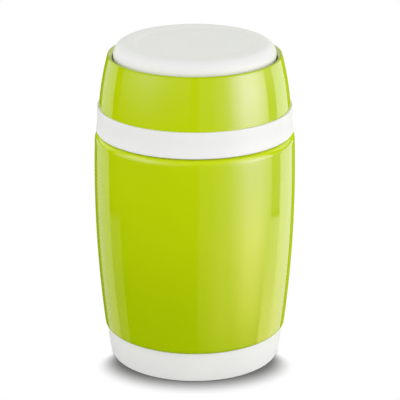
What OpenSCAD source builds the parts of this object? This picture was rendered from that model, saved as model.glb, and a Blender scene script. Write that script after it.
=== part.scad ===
// Insulated food jar: a double-walled steel vacuum vessel, a screw stopper with a push-button
// vent, and a screw-on lid that turns over to serve as a bowl.
// Millimetres. The origin is the centre of the foot, on the table, and +Z runs up the axis.

/* [Body] */
// Diameter at the widest point of the body
belly_d = 98; // [94:0.5:102]
// Height of the widest point above the table
belly_z = 89; // [80:1:96]
// Radius of the long curve of the body's side
side_bow_r = 615; // [500:5:800]
// Height of the flat shoulder that carries the neck
shoulder_z = 115; // [112:0.5:117]
// Radius of the rounded corner between side and shoulder
shoulder_r = 3.5; // [2:0.25:4.5]
// Height of the lower edge of the steel body
body_foot_z = 15.5; // [14:0.5:20]
// Radius of the lower corner, where the steel turns in
hem_r = 1.2; // [0.8:0.1:1.8]
// Length of the flat hem turned in at the lower edge
hem_w = 1.2; // [1:0.1:2]
// Thickness of the outer steel sheet
shell_t = 0.6; // [0.5:0.05:0.8]

/* [Vessel] */
// Width from the body's widest point in to the mouth
mouth_inset_w = 11.4; // [11:0.1:12.5]
// Height of the mouth's rim above the lid collar's top
mouth_proud_h = 2.7; // [1.6:0.1:3.2]
// Thickness of the inner steel sheet
vessel_t = 0.5; // [0.4:0.05:0.6]
// Width of the vacuum space behind the vessel's side
vacuum_gap = 3.6; // [3:0.1:4.5]
// Width of the vacuum space inside the neck
neck_gap = 0.85; // [0.6:0.05:1]
// Room between the getter and the vessel's floor
floor_gap = 1.45; // [1:0.05:6]
// Radius of the vessel's bottom corner
vessel_corner_r = 10; // [6:0.5:14]
// Radius of the rounded shoulder inside the vessel
vessel_shoulder_r = 4.2; // [3:0.1:4.4]

/* [Closing plate] */
// Room between the base cup's spigot and the plate that closes the vacuum space
plate_gap = 1.4; // [1:0.1:2.5]
// Height of the raised middle of the plate
plate_rise = 1; // [0.6:0.1:1.4]
// Diameter of the raised middle of the plate
plate_rise_d = 60; // [52:1:68]
// Diameter of the dimple over the evacuation hole
dimple_d = 14; // [11:0.5:16]
// Depth of the dimple
dimple_h = 1.3; // [0.9:0.1:1.5]
// Diameter of the evacuation hole
hole_d = 1.6; // [1:0.1:2]
// Diameter of the glass bead that seals the hole
bead_d = 8; // [6:0.5:9]
// Diameter of the getter capsule
getter_d = 9; // [7:0.5:11]
// Height of the getter capsule
getter_h = 2; // [1.5:0.1:2.2]
// Distance of the getter from the axis
getter_x = 18; // [16:0.5:21]

/* [Base cup] */
// How far the base cup's upper edge stands inside the body's side
base_inset_w = 1.3; // [1.1:0.1:2.1]
// Radius of the curve of the base cup's side
base_bow_r = 54; // [40:1:80]
// Height of the widest point of the base cup
base_bow_z = 14; // [12:0.5:15]
// Rounding of the base cup's lower edge
foot_edge_r = 0.8; // [0.5:0.1:1.4]
// Width of the ring that stands on the table
foot_ring_w = 4.2; // [3:0.2:6]
// Height of the hollow under the base
foot_hollow_h = 1.4; // [0.8:0.1:2]
// Wall thickness of the base cup
base_t = 2.2; // [1.6:0.1:2.8]
// Height of the spigot that snaps into the body
spigot_h = 2.6; // [1.8:0.1:3]
// Number of ribs inside the base cup
base_ribs = 8; // [4:1:12]

/* [Neck ring] */
// Wall thickness of the plastic ring that carries the lid's thread
ring_t = 2.65; // [2:0.05:3]
// Width of the neck ring's bottom flange
ring_flange_w = 1.4; // [1:0.1:1.5]
// Thickness of the neck ring's bottom flange
ring_flange_t = 1.8; // [1.2:0.1:2.4]

/* [Stopper] */
// Wall thickness of the stopper's plug
plug_t = 1.8; // [1.4:0.1:2.2]
// Depth of the plug below the mouth's rim
plug_h = 21.5; // [19:0.5:24]
// Thickness of the stopper's deck
deck_t = 2; // [1.6:0.1:2.4]
// Height of the grip rim above the deck
grip_h = 3.6; // [3:0.1:4]
// Thickness of the grip rim
grip_t = 2.8; // [2.4:0.1:3.2]
// Number of finger flutes round the grip rim
flutes = 24; // [16:2:32]
// Depth of a finger flute
flute_depth = 0.9; // [0.6:0.1:1.2]
// Diameter of a finger flute's cutter
flute_d = 7; // [6:0.5:7.5]
// Thickness of the stopper's cover against the food
cover_t = 2; // [1.6:0.1:2.4]
// Height of the cover's upstands inside the plug
cover_lip_h = 2.4; // [2:0.1:3]
// Thickness of the stopper's seal
seal_t = 1.5; // [1.2:0.1:1.8]

/* [Vent] */
// Diameter of the vent button
button_d = 18; // [15:0.5:20]
// Height of the button's skirt
button_h = 5.6; // [5:0.1:6]
// Thickness of the button's top
button_t = 1.8; // [1.4:0.1:2]
// How far the button stands above its well
button_proud = 1; // [0.6:0.1:1.2]
// Travel of the vent button
vent_travel = 2.5; // [2:0.1:2.8]
// Depth left in the well under the pressed button
well_spare = 1.9; // [1.5:0.1:2.4]
// Wall thickness of the well and the guide tube
well_t = 1.6; // [1.2:0.1:2]
// Bore of the guide tube
guide_d = 6.2; // [5.4:0.1:7]
// Thickness of the blades of the button's cross-shaped stem
stem_t = 1.4; // [1.2:0.1:1.8]
// Diameter of the stem's barb under the valve
barb_d = 4.6; // [4.2:0.1:5]
// Diameter of the rubber valve
valve_d = 12; // [10:0.5:15]
// Thickness of the rubber valve
valve_t = 1.4; // [1.2:0.1:1.8]
// Wire diameter of the vent spring
wire_d = 0.7; // [0.5:0.05:0.8]
// Mean diameter of the vent spring
spring_d = 11; // [9.5:0.5:12]
// Number of turns of the vent spring
spring_turns = 5; // [4:1:6]

/* [Lid] */
// Width from the collar's bore out to the lid shell's side
lid_seat_w = 2.2; // [1.8:0.05:2.6]
// How far the lid shell's rim stands inside its lower edge
lid_taper_w = 4.4; // [3.8:0.1:5]
// Room between the stopper's button and the bowl's roof
lid_room_h = 5.1; // [4:0.1:8]
// Radius of the curve of the lid's side
lid_bow_r = 140; // [110:5:200]
// Radius of the rim's turned edge
rim_r = 0.65; // [0.65:0.05:0.8]
// Depth of the recess in the top of the lid shell
recess_h = 4.3; // [4:0.1:4.6]
// Slant of the recess's wall, in degrees
recess_slant = 24; // [20:0.5:25]
// Radius of the recess's bottom corner
recess_r = 0.6; // [0.5:0.05:0.7]
// Thickness of the lid's steel sheet
lid_t = 0.5; // [0.4:0.05:0.6]
// Height of the white collar
collar_h = 12.8; // [12:0.2:13.6]
// Thickness of the collar's lip round the lid shell
collar_lip_t = 0.85; // [0.6:0.05:1]
// How far the collar flares out at its lower edge
collar_flare_w = 0.7; // [0.3:0.05:1]
// Radius of the collar's cove
cove_r = 30; // [24:1:44]
// Rounding of the collar's lower edge
collar_edge_r = 1; // [0.6:0.1:1.2]
// Depth of the slot that holds the lid shell's edge
slot_h = 1.6; // [1.2:0.1:2]
// Thickness of the bowl's wall
bowl_t = 1.6; // [1.3:0.1:1.9]
// Width of the space between lid shell and bowl
lid_gap = 1.2; // [0.9:0.1:1.4]
// Radius of the bowl's inside corner
bowl_corner_r = 5; // [3:0.5:6]
// Thickness of the foam between bowl and lid shell
lid_foam_t = 2.3; // [1.8:0.1:2.8]
// Thickness of the gasket inside the collar
gasket_t = 1.2; // [0.9:0.1:1.4]

/* [Cap] */
// Width of the gutter between the cap's side and the lid's rim
gutter_w = 2.7; // [2.6:0.1:3.3]
// Height of the cap's top above the lid's rim
cap_rise = 5.7; // [5:0.1:6.4]
// Radius of the cap's upper edge
cap_edge_r = 5.8; // [4.5:0.1:6.4]
// Taper of the cap's side below its upper edge
cap_draft = 0.3; // [0.1:0.05:0.4]
// Wall thickness of the cap
cap_t = 2; // [1.6:0.1:2.4]
// Width of the flat border round the shallow dish in the cap's top
dish_border_w = 2.9; // [1.9:0.1:6]
// Depth of the dish
dish_h = 0.5; // [0.3:0.05:0.8]
// Width of the dish's sloping border
dish_slope_w = 4; // [3:0.5:6]
// Number of ribs under the cap
cap_ribs = 8; // [4:1:12]
// Thickness of moulded ribs
rib_t = 1.2; // [1:0.1:1.6]

/* [Fits] */
// Gap between curved pieces that are pressed or welded together
press_gap = 0.1; // [0.06:0.01:0.12]
// Gap between flat pieces that are bonded together
bond_gap = 0.1; // [0.06:0.01:0.14]
// Gap between seats that come apart
seat_gap = 0.3; // [0.25:0.01:0.35]
// Radial room for a moulded or rolled thread between two walls
thread_room = 1.8; // [1.6:0.05:1.9]
// Gap under the collar, over the shoulder
shoulder_gap = 0.5; // [0.4:0.05:0.7]
// Clearance between the vent button and its well
button_gap = 0.3; // [0.25:0.01:0.4]
// Clearance between the stem and its guide tube
stem_gap = 0.4; // [0.3:0.05:0.5]

/* [Hidden] */
$fn = 96;
eps = 0.01;
long_steps = 24;  // straight steps in a long side curve
turn_steps = 12;  // straight steps in a small rounding

lime = [0.70, 0.80, 0.0];
white = [0.93, 0.93, 0.92];
steel = [0.78, 0.78, 0.77];
silicone = [0.86, 0.87, 0.86];
foam = [0.96, 0.95, 0.92];

// Widest point and neck, from the mouth outwards
belly_r = belly_d / 2;
mouth_r = belly_r - mouth_inset_w;
vessel_neck_r = mouth_r + vessel_t;
shell_neck_r = vessel_neck_r + neck_gap + shell_t;
lip_r = shell_neck_r + press_gap + vessel_t;
lip_roll_r = (lip_r - mouth_r) / 2;
ring_in_r = shell_neck_r + press_gap;
ring_r = ring_in_r + ring_t;
neck_fillet_r = 1.2;

// Heights round the neck, from the shoulder up
ring_z = shoulder_z + bond_gap;
collar_z = shoulder_z + shoulder_gap;
collar_top_z = collar_z + collar_h;
gasket_top_z = collar_top_z - bond_gap;
gasket_z = gasket_top_z - gasket_t;
ring_top_z = gasket_z - seat_gap;
mouth_z = collar_top_z + mouth_proud_h;
lip_roll_z = mouth_z - lip_roll_r;
lip_leg_z = lip_roll_z - 1;

// Base cup
base_r = bow(body_foot_z, belly_r, belly_z, side_bow_r) - base_inset_w;
base_top_z = body_foot_z - bond_gap;
hem_in_r = bow(body_foot_z + hem_r, belly_r, belly_z, side_bow_r) - hem_r - hem_w;
spigot_r = hem_in_r - press_gap;
spigot_top_z = base_top_z + spigot_h;
base_floor_z = foot_hollow_h + base_t;

// Closing plate and vessel
plate_r = bow(body_foot_z + shell_t, belly_r, belly_z, side_bow_r, shell_t) - hem_r / 2 - press_gap;
plate_corner_r = 2;
plate_z = spigot_top_z + plate_gap;
plate_mid_z = plate_z + plate_rise;
dimple_z = plate_mid_z + dimple_h;
step_w = 2;
getter_z = plate_mid_z + shell_t + bond_gap / 2;
vessel_floor_z = getter_z + getter_h + floor_gap + vessel_t;
vessel_inset = shell_t + vacuum_gap;
vessel_shoulder_z = shoulder_z - shell_t - vacuum_gap;
vessel_neck_fillet_r = 2;

// Stopper
plug_r = mouth_r - thread_room;
seal_z = mouth_z + seat_gap;
flange_z = seal_z + seal_t + bond_gap;
deck_z = flange_z + deck_t;
grip_z = deck_z + grip_h;
grip_r = lip_r + press_gap;
cover_z = mouth_z - plug_h - cover_t;
cover_top_z = cover_z + cover_t;
plug_z = cover_top_z + bond_gap;

// Vent
button_r = button_d / 2;
well_r = button_r + button_gap;
button_top_z = grip_z + button_proud;
button_z = button_top_z - button_h;
well_z = button_z - vent_travel - well_spare;
button_roof_z = button_top_z - button_t;
guide_r = guide_d / 2;
tube_r = guide_r + well_t;
stem_r = guide_r - stem_gap;
valve_top_z = cover_z - seat_gap;
valve_z = valve_top_z - valve_t;
pin_r = barb_d / 2 - 0.7;
barb_h = 0.9;
valve_seat_w = 1.6;
spring_z = well_z + bond_gap + wire_d / 2;
spring_h = button_roof_z - well_z - 2 * bond_gap - wire_d;

// Lid
collar_in_r = ring_r + thread_room;
lid_foot_r = collar_in_r + lid_seat_w;
lid_rim_r = lid_foot_r - lid_taper_w;
bowl_roof_z = button_top_z + lid_room_h;
bowl_top_z = bowl_roof_z + bowl_t;
lid_foam_z = bowl_top_z + bond_gap;
recess_z = lid_foam_z + lid_foam_t + bond_gap + lid_t;
lid_rim_z = recess_z + recess_h;
rim_z = lid_rim_z - rim_r;
lid_peak = bow_peak([lid_foot_r, collar_top_z], [lid_rim_r, lid_rim_z], lid_bow_r);
lid_peak_r = lid_peak[0];
lid_peak_z = lid_peak[1];
collar_r = lid_foot_r + press_gap + collar_lip_t;
shell_edge_z = collar_top_z - slot_h + bond_gap;
slot_z = collar_top_z - slot_h;
slot_in_r = bow(shell_edge_z, lid_peak_r, lid_peak_z, lid_bow_r, lid_t) - press_gap;
gasket_in_r = grip_r + seat_gap;
bowl_z = collar_top_z;
bowl_inset = lid_t + lid_gap;
bowl_flange_t = 1.5;
bowl_flange_r = bow(bowl_z + bowl_flange_t, lid_peak_r, lid_peak_z, lid_bow_r, lid_t) - press_gap;

// Cap
cap_r = lid_rim_r - gutter_w;
cap_z = recess_z + bond_gap;
cap_top_z = lid_rim_z + cap_rise;
cap_edge_z = cap_top_z - cap_edge_r;
cap_foot_r = cap_r - cap_draft;
cap_roof_z = cap_top_z - dish_h - cap_t;
cap_rib_z = cap_z + 1.5;

// Radius at height z of a side curved with radius bow_r, widest at peak_z; inset moves it inwards
function bow(z, peak_r, peak_z, bow_r, inset = 0) =
    peak_r - bow_r + sqrt(pow(bow_r - inset, 2) - pow(z - peak_z, 2));

// Widest radius and its height for a curve of radius r that passes two points [radius, height]
function bow_peak(low, high, r) =
    let (mid = (low + high) / 2, d = high - low, len = norm(d), away = sqrt(r * r - len * len / 4))
    [mid[0] - away * d[1] / len + r, mid[1] + away * d[0] / len];

// Points along that side curve from z0 to z1
function bow_points(z0, z1, peak_r, peak_z, bow_r, inset = 0, n = long_steps) =
    [for (i = [0:n]) let (z = z0 + (z1 - z0) * i / n) [bow(z, peak_r, peak_z, bow_r, inset), z]];

// Points along an arc round c, from angle a0 to a1
function arc(c, r, a0, a1, n = turn_steps) =
    [for (i = [0:n]) let (a = a0 + (a1 - a0) * i / n) c + r * [cos(a), sin(a)]];

// Centre height of a corner of radius r that touches the side curve and a level line at z, where
// side is +1 for a corner under the line and -1 for one over it
function corner_z(z, r, side) = z - side * r;

// Centre of that corner
function corner_c(z, r, side, peak_r, peak_z, bow_r, inset = 0) =
    [bow(corner_z(z, r, side), peak_r, peak_z, bow_r, inset + r), corner_z(z, r, side)];

// Direction from a side curve's centre to a point on it, in degrees
function bow_angle(c, peak_r, peak_z, bow_r) = atan2(c[1] - peak_z, c[0] - peak_r + bow_r);

module revolve() {
    rotate_extrude() children();
}

// ---------------------------------------------------------------- body

// One face of the outer shell, from the hem up to the neck; inset 0 is the outside
function shell_side(inset) =
    let (
        low_r = hem_r - inset,
        top_r = shoulder_r - inset,
        low = corner_c(body_foot_z + inset, low_r, -1, belly_r, belly_z, side_bow_r, inset),
        top = corner_c(shoulder_z - inset, top_r, 1, belly_r, belly_z, side_bow_r, inset),
        a_low = bow_angle(low, belly_r, belly_z, side_bow_r),
        a_top = bow_angle(top, belly_r, belly_z, side_bow_r),
        neck_r = neck_fillet_r + inset,
        wall_r = shell_neck_r - inset
    )
    concat(
        [[hem_in_r, body_foot_z + inset]],
        arc(low, low_r, -90, a_low),
        bow_points(low[1] + low_r * sin(a_low), top[1] + top_r * sin(a_top),
            belly_r, belly_z, side_bow_r, inset),
        arc(top, top_r, a_top, 90),
        arc([wall_r + neck_r, shoulder_z - inset + neck_r], neck_r, 270, 180),
        [[wall_r, lip_roll_z]]
    );

// Deep-drawn and lacquered steel: bowed side, turned-in hem, rounded shoulder and plain neck
module outer_shell() {
    outside = shell_side(0);
    inside = shell_side(shell_t);
    color(lime) revolve() polygon(tidy(concat(outside, reversed(inside))));
}

function reversed(list) = [for (i = [len(list) - 1:-1:0]) list[i]];

// The points without any that repeats the one before it
function tidy(points) =
    [for (i = [0:len(points) - 1])
        let (before = points[(i + len(points) - 1) % len(points)])
        if (norm(points[i] - before) > 0.001) points[i]];

// One face of the vessel, from the middle of the floor up to the neck; inset 0 is its outside
function vessel_side(inset) =
    let (
        low_r = vessel_corner_r + vessel_t - inset,
        top_r = vessel_shoulder_r + vessel_t - inset,
        depth = vessel_inset + inset,
        low = corner_c(vessel_floor_z - vessel_t + inset, low_r, -1,
            belly_r, belly_z, side_bow_r, depth),
        top = corner_c(vessel_shoulder_z - inset, top_r, 1, belly_r, belly_z, side_bow_r, depth),
        a_low = bow_angle(low, belly_r, belly_z, side_bow_r),
        a_top = bow_angle(top, belly_r, belly_z, side_bow_r),
        neck_r = vessel_neck_fillet_r + inset - vessel_t,
        wall_r = vessel_neck_r - inset
    )
    concat(
        [[0, vessel_floor_z - vessel_t + inset]],
        arc(low, low_r, -90, a_low),
        bow_points(low[1] + low_r * sin(a_low), top[1] + top_r * sin(a_top),
            belly_r, belly_z, side_bow_r, depth),
        arc(top, top_r, a_top, 90),
        arc([wall_r + neck_r, vessel_shoulder_z - inset + neck_r], neck_r, 270, 180)
    );

// Seamless steel vessel: rounded floor, bulged side, narrower neck and a lip rolled over the neck
// of the outer shell
module inner_vessel() {
    roll = [mouth_r + lip_roll_r, lip_roll_z];
    outside = concat(
        vessel_side(0),
        arc(roll, lip_roll_r - vessel_t, 180, 0),
        [[lip_r - vessel_t, lip_leg_z]]
    );
    inside = concat(vessel_side(vessel_t), arc(roll, lip_roll_r, 180, 0), [[lip_r, lip_leg_z]]);
    color(steel) revolve() polygon(tidy(concat(outside, reversed(inside))));
}

// One face of the closing plate, from its foot on the hem to the middle
function plate_side(inset) =
    let (corner = plate_corner_r - inset, r = plate_r - inset, rise_r = plate_rise_d / 2)
    concat(
        [[r, body_foot_z + shell_t]],
        arc([r - corner, plate_z + shell_t - inset - corner], corner, 0, 90),
        [
            [rise_r + step_w / 2, plate_z + shell_t - inset],
            [rise_r - step_w / 2, plate_mid_z + shell_t - inset],
            [dimple_d / 2 + step_w / 2, plate_mid_z + shell_t - inset],
            [dimple_d / 2 - step_w / 2, dimple_z + shell_t - inset],
            [hole_d / 2, dimple_z + shell_t - inset]
        ]
    );

// Pressed steel plate welded on the hem, with a raised middle and a dimple round the hole through
// which the air is drawn
module closing_plate() {
    color(steel) revolve() polygon(tidy(concat(plate_side(0), reversed(plate_side(shell_t)))));
}

// Getter capsule fixed on the plate, in the vacuum
module getter() {
    cup_t = 0.4;
    color(steel) translate([getter_x, 0, getter_z]) difference() {
        cylinder(d = getter_d, h = getter_h);
        translate([0, 0, cup_t]) cylinder(d = getter_d - 3, h = getter_h);
    }
}

// Drop of glass solder that closes the hole from below
module evacuation_seal() {
    drop_h = 1;
    drop_r = (pow(bead_d / 2, 2) + pow(drop_h, 2)) / (2 * drop_h);
    color([0.35, 0.36, 0.4]) translate([0, 0, dimple_z - bond_gap / 2]) intersection() {
        translate([0, 0, drop_r - drop_h]) sphere(r = drop_r);
        translate([0, 0, -drop_h]) cylinder(d = bead_d, h = drop_h);
    }
}

// Plastic ring snapped over the steel neck; the lid screws onto it
module neck_ring() {
    flange_r = ring_r + ring_flange_w;
    chamfer = 0.5;
    bottom_in_r = shell_neck_r + neck_fillet_r + press_gap;
    color(white) revolve() polygon([
        [bottom_in_r, ring_z],
        [flange_r, ring_z],
        [flange_r, ring_z + ring_flange_t - chamfer],
        [flange_r - chamfer, ring_z + ring_flange_t],
        [ring_r, ring_z + ring_flange_t],
        [ring_r, ring_top_z - chamfer],
        [ring_r - chamfer, ring_top_z],
        [ring_in_r, ring_top_z],
        [ring_in_r, ring_z + neck_fillet_r]
    ]);
}

// Moulded cup that the jar stands on: bowed side, hollow underside, a spigot that snaps through
// the hem and ribs under the closing plate
module base_cup() {
    foot_c = [bow(foot_edge_r, base_r, base_bow_z, base_bow_r, foot_edge_r), foot_edge_r];
    a_foot = bow_angle(foot_c, base_r, base_bow_z, base_bow_r);
    side_start_z = foot_c[1] + foot_edge_r * sin(a_foot);
    ring_in = foot_c[0] - foot_ring_w;
    wall_in_r = spigot_r - base_t;
    hollow_step = 0.9;
    outline = concat(
        [[0, foot_hollow_h], [ring_in - hollow_step, foot_hollow_h], [ring_in, 0]],
        arc(foot_c, foot_edge_r, -90, a_foot),
        bow_points(side_start_z, base_top_z, base_r, base_bow_z, base_bow_r, n = turn_steps),
        [
            [spigot_r, base_top_z],
            [spigot_r, spigot_top_z - base_t / 4],
            [spigot_r - base_t / 4, spigot_top_z],
            [wall_in_r, spigot_top_z],
            [wall_in_r, base_floor_z + base_t]
        ],
        arc([wall_in_r - base_t, base_floor_z + base_t], base_t, 0, -90),
        [[0, base_floor_z]]
    );
    rib_top_z = plate_z - seat_gap;
    hub_r = dimple_d / 2 + base_t;
    color(white) union() {
        revolve() polygon(tidy(outline));
        for (i = [0:base_ribs - 1]) rotate(i * 360 / base_ribs)
            translate([hub_r - eps, -rib_t / 2, base_floor_z - eps])
                cube([wall_in_r - hub_r + 2 * eps, rib_t, base_top_z - base_floor_z]);
        difference() {
            translate([0, 0, base_floor_z - eps]) cylinder(r = hub_r, h = rib_top_z - base_floor_z);
            translate([0, 0, base_floor_z]) cylinder(r = hub_r - rib_t, h = rib_top_z);
        }
    }
}

// ---------------------------------------------------------------- stopper

// Silicone ring under the stopper's flange, pressed on the mouth's lip
module stopper_seal() {
    in_r = plug_r + press_gap;
    out_r = grip_r - press_gap;
    bulge = seal_t / 2;
    color(silicone) revolve() polygon(tidy(concat(
        [[in_r, seal_z], [out_r - bulge, seal_z]],
        arc([out_r - bulge, seal_z + bulge], bulge, -90, 90),
        [[in_r, seal_z + seal_t]]
    )));
}

// Moulded stopper: hollow plug, flange, fluted grip rim, button well and guide tube
module stopper_body() {
    edge = 0.8;
    grip_in_r = grip_r - grip_t;
    plug_in_r = plug_r - plug_t;
    well_out_r = well_r + well_t;
    well_floor_z = well_z - well_t;
    outline = concat(
        [[plug_in_r, plug_z], [plug_r, plug_z], [plug_r, flange_z]],
        arc([grip_r - edge, flange_z + edge], edge, -90, 0),
        arc([grip_r - edge, grip_z - edge], edge, 0, 90),
        arc([grip_in_r + edge, grip_z - edge], edge, 90, 180),
        [
            [grip_in_r - edge, deck_z],
            [well_out_r + edge, deck_z]
        ],
        arc([well_out_r - edge, grip_z - edge], edge, 0, 90),
        [
            [well_r, grip_z],
            [well_r, well_z],
            [guide_r, well_z],
            [guide_r, plug_z],
            [tube_r, plug_z],
            [tube_r, well_floor_z],
            [well_out_r, well_floor_z],
            [well_out_r, flange_z],
            [plug_in_r, flange_z]
        ]
    );
    flute_x = grip_r + flute_d / 2 - flute_depth;
    color(white) difference() {
        revolve() polygon(tidy(outline));
        for (i = [0:flutes - 1]) rotate(i * 360 / flutes)
            translate([flute_x, 0, deck_z]) cylinder(d = flute_d, h = grip_h + 1);
    }
}

// Disc that closes the plug, with an upstand inside its wall and a socket round the guide tube
module stopper_cover() {
    lip_out_r = plug_r - plug_t - press_gap;
    lip_in_r = lip_out_r - plug_t;
    socket_r = tube_r + press_gap;
    socket_top_z = cover_top_z + cover_lip_h;
    edge = cover_t / 2;
    color(white) revolve() polygon(tidy(concat(
        [[guide_r, cover_z]],
        arc([plug_r - edge, cover_z + edge], edge, -90, 0),
        [
            [plug_r, cover_top_z],
            [lip_out_r, cover_top_z],
            [lip_out_r, socket_top_z],
            [lip_in_r, socket_top_z],
            [lip_in_r, cover_top_z],
            [socket_r + plug_t, cover_top_z],
            [socket_r + plug_t, socket_top_z],
            [socket_r, socket_top_z],
            [socket_r, cover_top_z],
            [guide_r, cover_top_z]
        ]
    )));
}

// Ring of rigid foam that fills the plug
module stopper_foam() {
    low_z = cover_top_z + cover_lip_h + bond_gap;
    out_r = plug_r - plug_t - press_gap;
    in_r = well_r + well_t + press_gap;
    color(foam) translate([0, 0, low_z]) difference() {
        cylinder(r = out_r, h = flange_z - bond_gap - low_z);
        translate([0, 0, -1]) cylinder(r = in_r, h = flange_z);
    }
}

// Button with a dished top, a hollow skirt and a cross-shaped stem that ends in a barb
module vent_button() {
    edge = 0.9;
    wall = 1.6;
    dish = 0.6;
    dish_r = button_r - edge - 1;
    dish_curve_r = (dish_r * dish_r + dish * dish) / (2 * dish);
    dish_c = [0, button_top_z - dish + dish_curve_r];
    dish_half = asin(dish_r / dish_curve_r);
    cone_h = barb_h;
    stem_z = cover_z + bond_gap;
    pin_z = valve_z - barb_h / 2 - cone_h;
    color(white) union() {
        revolve() polygon(tidy(concat(
            [[0, button_roof_z], [button_r - wall, button_roof_z], [button_r - wall, button_z],
                [button_r, button_z]],
            arc([button_r - edge, button_top_z - edge], edge, 0, 90),
            arc(dish_c, dish_curve_r, -90 + dish_half, -90)
        )));
        for (turn = [0, 90]) rotate(turn)
            translate([-stem_r, -stem_t / 2, stem_z])
                cube([2 * stem_r, stem_t, button_roof_z - stem_z + eps]);
        revolve() polygon([
            [0, pin_z],
            [pin_r, pin_z],
            [barb_d / 2, pin_z + cone_h],
            [barb_d / 2, valve_z - bond_gap],
            [pin_r, valve_z - bond_gap],
            [pin_r, stem_z + eps],
            [0, stem_z + eps]
        ]);
    }
}

// Rubber valve on the stem's pin: a disc with a raised lip that closes on the cover
module vent_valve() {
    hole_r = pin_r + press_gap;
    body_t = valve_t * 0.65;
    lip_in_r = valve_d / 2 - valve_seat_w;
    edge = body_t / 2;
    color([0.8, 0.82, 0.8]) revolve() polygon(tidy(concat(
        [[hole_r, valve_z]],
        arc([valve_d / 2 - edge, valve_z + edge], edge, -90, 0),
        [
            [valve_d / 2, valve_top_z],
            [lip_in_r + valve_seat_w / 2, valve_top_z],
            [lip_in_r, valve_z + body_t],
            [hole_r, valve_z + body_t]
        ]
    )));
}

// Height of the spring's wire after u turns: a closed turn at each end and even pitch between
function coil_z(u) =
    let (closed = wire_d * 1.1, middle = spring_turns - 2)
    u < 1 ? closed * u
    : u > spring_turns - 1 ? spring_h - closed * (spring_turns - u)
    : closed + (spring_h - 2 * closed) * (u - 1) / middle;

// Steel compression spring between the well's floor and the button
module vent_spring() {
    sides = 8;
    per_turn = 20;
    rings = spring_turns * per_turn;
    points = [
        for (i = [0:rings]) let (u = i / per_turn, a = u * 360)
            for (k = [0:sides - 1]) let (
                b = k * 360 / sides,
                r = spring_d / 2 + wire_d / 2 * cos(b),
                z = spring_z + coil_z(u) + wire_d / 2 * sin(b)
            )
            [r * cos(a), r * sin(a), z]
    ];
    skin = [
        for (i = [0:rings - 1], k = [0:sides - 1]) let (n = (k + 1) % sides)
            [i * sides + k, i * sides + n, (i + 1) * sides + n, (i + 1) * sides + k]
    ];
    first = [for (k = [sides - 1:-1:0]) k];
    last = [for (k = [0:sides - 1]) rings * sides + k];
    color([0.6, 0.6, 0.62]) polyhedron(points, concat(skin, [first, last]));
}

// ---------------------------------------------------------------- lid

// Silicone ring held inside the collar, over the neck ring
module lid_gasket() {
    out_r = collar_in_r - press_gap;
    edge = 0.3;
    color(silicone) revolve() polygon([
        [gasket_in_r + edge, gasket_z],
        [out_r - edge, gasket_z],
        [out_r, gasket_z + edge],
        [out_r, gasket_top_z],
        [gasket_in_r, gasket_top_z],
        [gasket_in_r, gasket_z + edge]
    ]);
}

// White collar at the mouth of the bowl: coved side, rounded lower edge, slot for the lid
// shell's edge and a plain inner wall for the thread
module lid_collar() {
    cove_h = sqrt(2 * cove_r * collar_flare_w - pow(collar_flare_w, 2));
    cove_c = [collar_r + cove_r, collar_z + collar_edge_r + cove_h];
    low_r = collar_r + collar_flare_w;
    a_cove = 180 + asin(cove_h / cove_r);
    lip_edge = collar_lip_t * 0.4;
    lip_in_r = lid_foot_r + press_gap;
    color(white) revolve() polygon(tidy(concat(
        [[collar_in_r, collar_z]],
        arc([low_r - collar_edge_r, collar_z + collar_edge_r], collar_edge_r, -90, 0),
        arc(cove_c, cove_r, a_cove, 180),
        arc([collar_r - lip_edge, collar_top_z - lip_edge], lip_edge, 0, 90),
        [
            [lip_in_r, collar_top_z],
            [lip_in_r + (lid_t + press_gap) / 4, slot_z],
            [slot_in_r, slot_z],
            [slot_in_r, gasket_top_z],
            [collar_in_r, gasket_top_z]
        ]
    )));
}

// One face of the bowl, from its mouth up to the middle of its roof
function bowl_side(inset, corner, roof_z, start_z) =
    let (
        c = corner_c(roof_z, corner, 1, lid_peak_r, lid_peak_z, lid_bow_r, inset),
        a = bow_angle(c, lid_peak_r, lid_peak_z, lid_bow_r)
    )
    concat(
        bow_points(start_z, c[1] + corner * sin(a), lid_peak_r, lid_peak_z, lid_bow_r, inset, 12),
        arc(c, corner, a, 90),
        [[0, roof_z]]
    );

// Moulded bowl inside the lid, with a flange welded on the collar
module lid_bowl() {
    outside = bowl_side(bowl_inset, bowl_corner_r + bowl_t, bowl_top_z, bowl_z + bowl_flange_t);
    inside = bowl_side(bowl_inset + bowl_t, bowl_corner_r, bowl_roof_z, bowl_z);
    color(white) revolve() polygon(tidy(concat(
        reversed(inside),
        [[bowl_flange_r, bowl_z], [bowl_flange_r, bowl_z + bowl_flange_t]],
        outside
    )));
}

// Foam disc between the bowl and the steel top of the lid
module lid_foam() {
    r = bow(bowl_top_z, lid_peak_r, lid_peak_z, lid_bow_r, bowl_inset) - bowl_corner_r - bowl_t;
    color(foam) translate([0, 0, lid_foam_z]) cylinder(r = r, h = lid_foam_t);
}

// One face of the lid shell, from its lower edge over the rim and down into the recess
function lid_side(inset) =
    let (
        turn = rim_r - inset,
        rim = [bow(rim_z, lid_peak_r, lid_peak_z, lid_bow_r, rim_r), rim_z],
        a_rim = bow_angle(rim, lid_peak_r, lid_peak_z, lid_bow_r),
        a_wall = 180 - recess_slant,
        normal = [cos(a_wall), sin(a_wall)],
        fall = [-sin(recess_slant), -cos(recess_slant)],
        from = rim + (rim_r + recess_r) * normal,
        corner = from + fall * ((from[1] - recess_z - recess_r) / cos(recess_slant)),
        bend = recess_r + inset
    )
    concat(
        bow_points(shell_edge_z, rim[1] + turn * sin(a_rim),
            lid_peak_r, lid_peak_z, lid_bow_r, inset, 16),
        arc(rim, turn, a_rim, a_wall),
        arc(corner, bend, -recess_slant, -90),
        [[0, recess_z - inset]]
    );

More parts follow.
